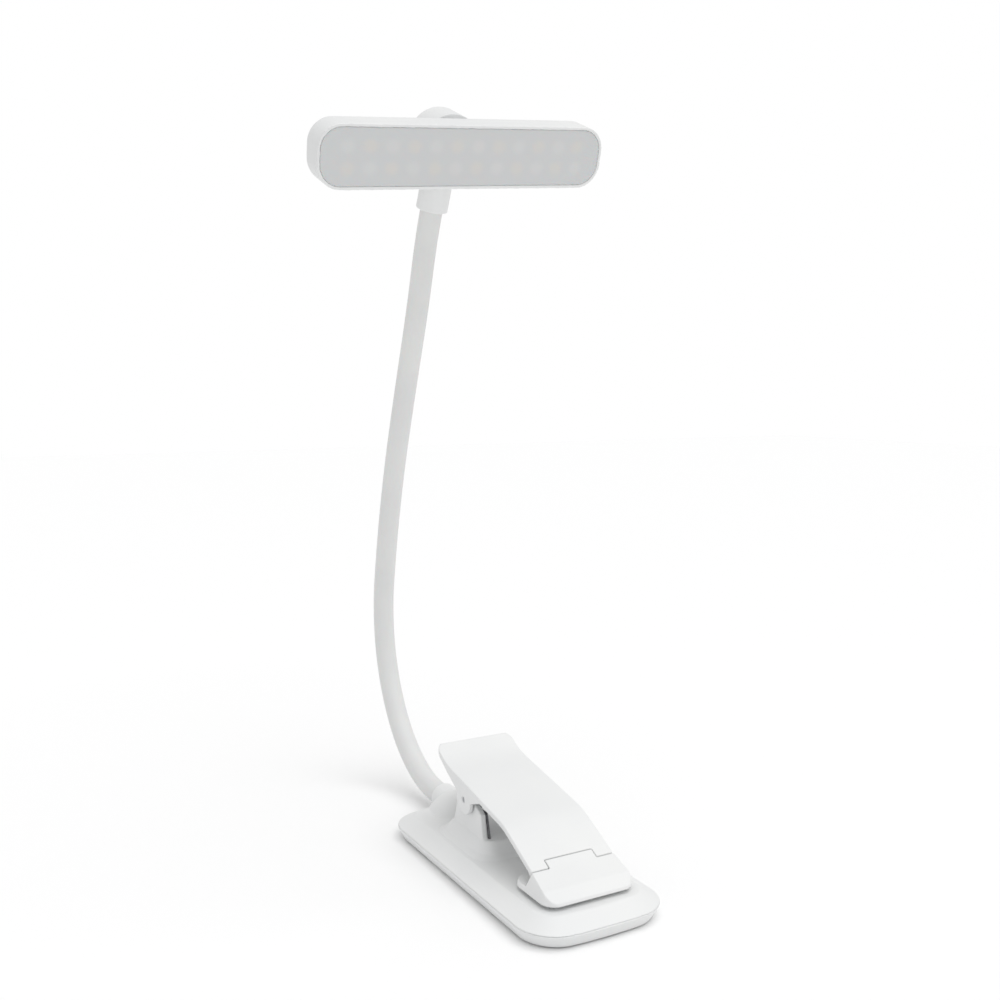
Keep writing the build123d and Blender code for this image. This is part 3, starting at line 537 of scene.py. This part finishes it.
for k in range(NECK_BENDS):
    if k == 0:
        start = bends[0] - heading(MOUTH_RISE) * SLEEVE_IN_MOUTH
        points = [start.lerp(bends[0], step / FIRST_STEPS) for step in range(FIRST_STEPS + 1)]
    else:
        middle = (rises[k - 1] + rises[k]) / 2
        half = link_length(k - 1) / 2
        whole = arc_points(ends[k - 1], rises[k - 1], rises[k], 2 * half, 2)
        points = arc_points(whole[1], middle, rises[k], half, SLEEVE_STEPS)
    if k == NECK_BENDS - 1:
        points += arc_points(ends[k], rises[k], rises[k + 1], link_length(k), SLEEVE_STEPS)[1:]
        points.append(rim + heading(RIM_RISE) * COLLAR_SINK)
    else:
        middle = (rises[k] + rises[k + 1]) / 2
        half = link_length(k) / 2
        points += arc_points(ends[k], rises[k], middle, half, SLEEVE_STEPS)[1:]
    sleeve = tube_between(f"sleeve_{k + 1}", points)
    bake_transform(sleeve)
    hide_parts(f"neck_sleeve_{k + 1}")


# ---- Swivel collar, cup and cap
# One white ABS moulding: the collar grips the neck's end, and the round cup takes the head's boss.
# A low domed cap snaps into the back of the cup and hides the swivel screw.
COLLAR_CELL = 0.3 * MM
COLLAR_ROUNDING = 5
CAP_CELL = 0.25 * MM
CAP_ROUNDING = 3

collar = moulded("swivel_collar", "collar_and_cup", COLLAR_CELL, COLLAR_ROUNDING)
set_finish(collar, white_abs)
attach(collar, "neck_top")
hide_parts("swivel_collar")
cap = moulded("cup_cap", "cup_cover", CAP_CELL, CAP_ROUNDING)
set_finish(cap, white_abs)
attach(cap, "neck_top")
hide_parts("cup_cap")


# ---- Head shell
# The long rounded housing, one white ABS moulding, open at the front for the diffuser. Its back
# edges are rounded, and a round boss turns in the cup.
HEAD_CELL = 0.42 * MM
HEAD_ROUNDING = 5

head_housing = moulded("head_shell", "head_housing", HEAD_CELL, HEAD_ROUNDING)
set_finish(head_housing, white_abs)
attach(head_housing, "head")
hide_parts("head_shell")


# ---- Diffuser
# A frosted acrylic panel just below the housing's rim. The lamp chips behind it show as two rows
# of faint warm and cool spots.
LED_PITCH = 9.5 * MM
LED_ROW_GAP = 8.8 * MM
LED_COLUMNS = 12
LED_ROWS = 2
GRID_SHIFT = 20.0  # whole cells, so that no place on the grid is below zero
SPOT_EDGE = 0.5
SPOT_CORE = 0.08
HEAD_ROLL = math.radians(5.5)
PANEL_WHITE = (0.605, 0.615, 0.62)
SPOT_WARM = (0.64, 0.63, 0.61)
SPOT_COOL = (0.635, 0.64, 0.64)
PANEL_CELL = 0.3 * MM
PANEL_ROUNDING = 3

panel = moulded("diffuser", "diffuser_panel", PANEL_CELL, PANEL_ROUNDING)
swivel_axis = Vector(joints["head_swivel"]["axis"]).normalized()
across = Matrix.Rotation(-HEAD_ROLL, 3, swivel_axis) @ Vector((1, 0, 0))
upward = across.cross(-swivel_axis)
panel_low, panel_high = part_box("diffuser")
panel_middle = (Vector(panel_low) + Vector(panel_high)) / 2
layout = panel.data.uv_layers.new(name="led_grid")
for loop in panel.data.loops:
    offset = panel.data.vertices[loop.vertex_index].co - panel_middle
    layout.data[loop.index].uv = (offset.dot(across) / LED_PITCH, offset.dot(upward) / LED_ROW_GAP)


def frosted_panel():
    finish = moulded_finish(
        "frosted_acrylic", PANEL_WHITE, PANEL_WHITE, 40 * MM, (0.32, 0.4), 0.25 * MM, 0.01 * MM,
        Subsurface_Weight=0.15, Subsurface_Scale=0.002,
    )
    tree = finish.node_tree
    nodes, links = tree.nodes, tree.links

    def worked(kind, left, right=None):
        step = nodes.new("ShaderNodeMath")
        step.operation = kind
        for socket, value in zip(step.inputs, (left, right)):
            if isinstance(value, (int, float)):
                socket.default_value = value
            elif value is not None:
                links.new(value, socket)
        return step.outputs[0]

    def from_spot_middle(place):
        part = worked("FRACT", worked("ADD", place, GRID_SHIFT))
        return worked("SUBTRACT", part, 0.5)

    grid = nodes.new("ShaderNodeUVMap")
    grid.uv_map = "led_grid"
    split = nodes.new("ShaderNodeSeparateXYZ")
    links.new(grid.outputs["UV"], split.inputs[0])
    across_grid, up_grid = split.outputs["X"], split.outputs["Y"]
    column = from_spot_middle(across_grid)
    row = from_spot_middle(up_grid)
    squares = worked("ADD", worked("MULTIPLY", column, column), worked("MULTIPLY", row, row))
    far = worked("SQRT", squares)
    in_columns = worked("LESS_THAN", worked("ABSOLUTE", across_grid), LED_COLUMNS / 2)
    in_rows = worked("LESS_THAN", worked("ABSOLUTE", up_grid), LED_ROWS / 2)
    inside = worked("MULTIPLY", in_columns, in_rows)
    spot = nodes.new("ShaderNodeMapRange")
    spot.interpolation_type = "SMOOTHERSTEP"
    spot.inputs["From Min"].default_value = SPOT_EDGE
    spot.inputs["From Max"].default_value = SPOT_CORE
    links.new(far, spot.inputs["Value"])
    strength = worked("MULTIPLY", spot.outputs["Result"], inside)
    parity = worked("ADD", worked("FLOOR", across_grid), worked("FLOOR", up_grid))
    odd = worked("MODULO", worked("ADD", parity, 2 * GRID_SHIFT), 2.0)
    kind = nodes.new("ShaderNodeMix")
    kind.data_type = "RGBA"
    kind.inputs["A"].default_value = (*SPOT_WARM, 1)
    kind.inputs["B"].default_value = (*SPOT_COOL, 1)
    links.new(odd, kind.inputs["Factor"])
    blend = nodes.new("ShaderNodeMix")
    blend.data_type = "RGBA"
    blend.inputs["A"].default_value = (*PANEL_WHITE, 1)
    links.new(kind.outputs["Result"], blend.inputs["B"])
    links.new(strength, blend.inputs["Factor"])
    skin = nodes["Principled BSDF"]
    for link in list(skin.inputs["Base Color"].links):
        links.remove(link)
    links.new(blend.outputs["Result"], skin.inputs["Base Color"])
    return finish


set_finish(panel, frosted_panel())
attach(panel, "head")
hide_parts("diffuser")


# ---- Lamp board and chips
# A white-masked board behind the diffuser with two rows of lamp chips, warm and cool in turn, each
# under a drop of yellow phosphor.
white_mask = moulded_finish(
    "white_mask", (0.80, 0.80, 0.78), (0.74, 0.74, 0.72), 8 * MM, (0.35, 0.5),
    0.2 * MM, 0.005 * MM,
)
warm_phosphor = moulded_finish(
    "warm_phosphor", (0.85, 0.62, 0.25), (0.78, 0.55, 0.2), 1 * MM, (0.3, 0.4),
    0.1 * MM, 0.005 * MM,
)
cool_phosphor = moulded_finish(
    "cool_phosphor", (0.86, 0.82, 0.5), (0.8, 0.76, 0.44), 1 * MM, (0.3, 0.4),
    0.1 * MM, 0.005 * MM,
)
set_finish(frame["nodes"]["led_board"], white_mask)
set_finish(frame["nodes"]["leds_warm"], warm_phosphor)
set_finish(frame["nodes"]["leds_cool"], cool_phosphor)


# ---- Table and studio light
# A plain white sheet of paper under a white sky, with one very large soft light almost overhead,
# a little to the front and right. The light is soft enough to leave only a faint shadow.
TABLE_SIZE = 6.0
TABLE_WHITE = (0.93, 0.93, 0.93)

table_mesh = bpy.data.meshes.new("table_top")
half = TABLE_SIZE / 2
table_mesh.from_pydata(
    [(-half, -half, 0), (half, -half, 0), (half, half, 0), (-half, half, 0)], [], [(0, 1, 2, 3)]
)
table = bpy.data.objects.new("table_top", table_mesh)
scene.collection.objects.link(table)
paper = moulded_finish(
    "studio_paper", TABLE_WHITE, TABLE_WHITE, 300 * MM, (0.85, 0.95), 2 * MM, 0.01 * MM
)
set_finish(table, paper)

SKY_LIGHT = 0.70
SUN_LIGHT = 1.3
SUN_SOFTNESS = math.radians(60)
SUN_FROM = (0.15, -0.35, 1.0)

sky = bpy.data.worlds.new("studio")
sky.use_nodes = True
backdrop = sky.node_tree.nodes["Background"]
backdrop.inputs["Color"].default_value = (1.0, 1.0, 1.0, 1)
seen = sky.node_tree.nodes.new("ShaderNodeLightPath")
level = sky.node_tree.nodes.new("ShaderNodeMapRange")
level.inputs["To Min"].default_value = SKY_LIGHT
level.inputs["To Max"].default_value = 1.0
sky.node_tree.links.new(seen.outputs["Is Camera Ray"], level.inputs["Value"])
sky.node_tree.links.new(level.outputs["Result"], backdrop.inputs["Strength"])
scene.world = sky
scene.view_settings.view_transform = "Standard"

sun = bpy.data.lights.new("window_light", "SUN")
sun.energy = SUN_LIGHT
sun.angle = SUN_SOFTNESS
sun_holder = bpy.data.objects.new("window_light", sun)
sun_holder.rotation_euler = (-Vector(SUN_FROM)).to_track_quat("-Z", "Y").to_euler()
scene.collection.objects.link(sun_holder)


# ---- Camera
# Front left of the lamp and a little above it, at a short portrait distance.
CAMERA_PLACE = (-217.15 * MM, -373.48 * MM, 195.92 * MM)
CAMERA_YAW = 0.509
CAMERA_PITCH = 0.102
LENS_MM = 39.838
SENSOR_MM = 36.0
CLIP_START = 0.01

lens = bpy.data.cameras.new("camera")
lens.lens = LENS_MM
lens.sensor_width = SENSOR_MM
lens.clip_start = CLIP_START
camera = bpy.data.objects.new("camera", lens)
camera.location = CAMERA_PLACE
look = Vector(
    (
        math.sin(CAMERA_YAW) * math.cos(CAMERA_PITCH),
        math.cos(CAMERA_YAW) * math.cos(CAMERA_PITCH),
        -math.sin(CAMERA_PITCH),
    )
)
camera.rotation_euler = look.to_track_quat("-Z", "Y").to_euler()
scene.collection.objects.link(camera)
scene.camera = camera
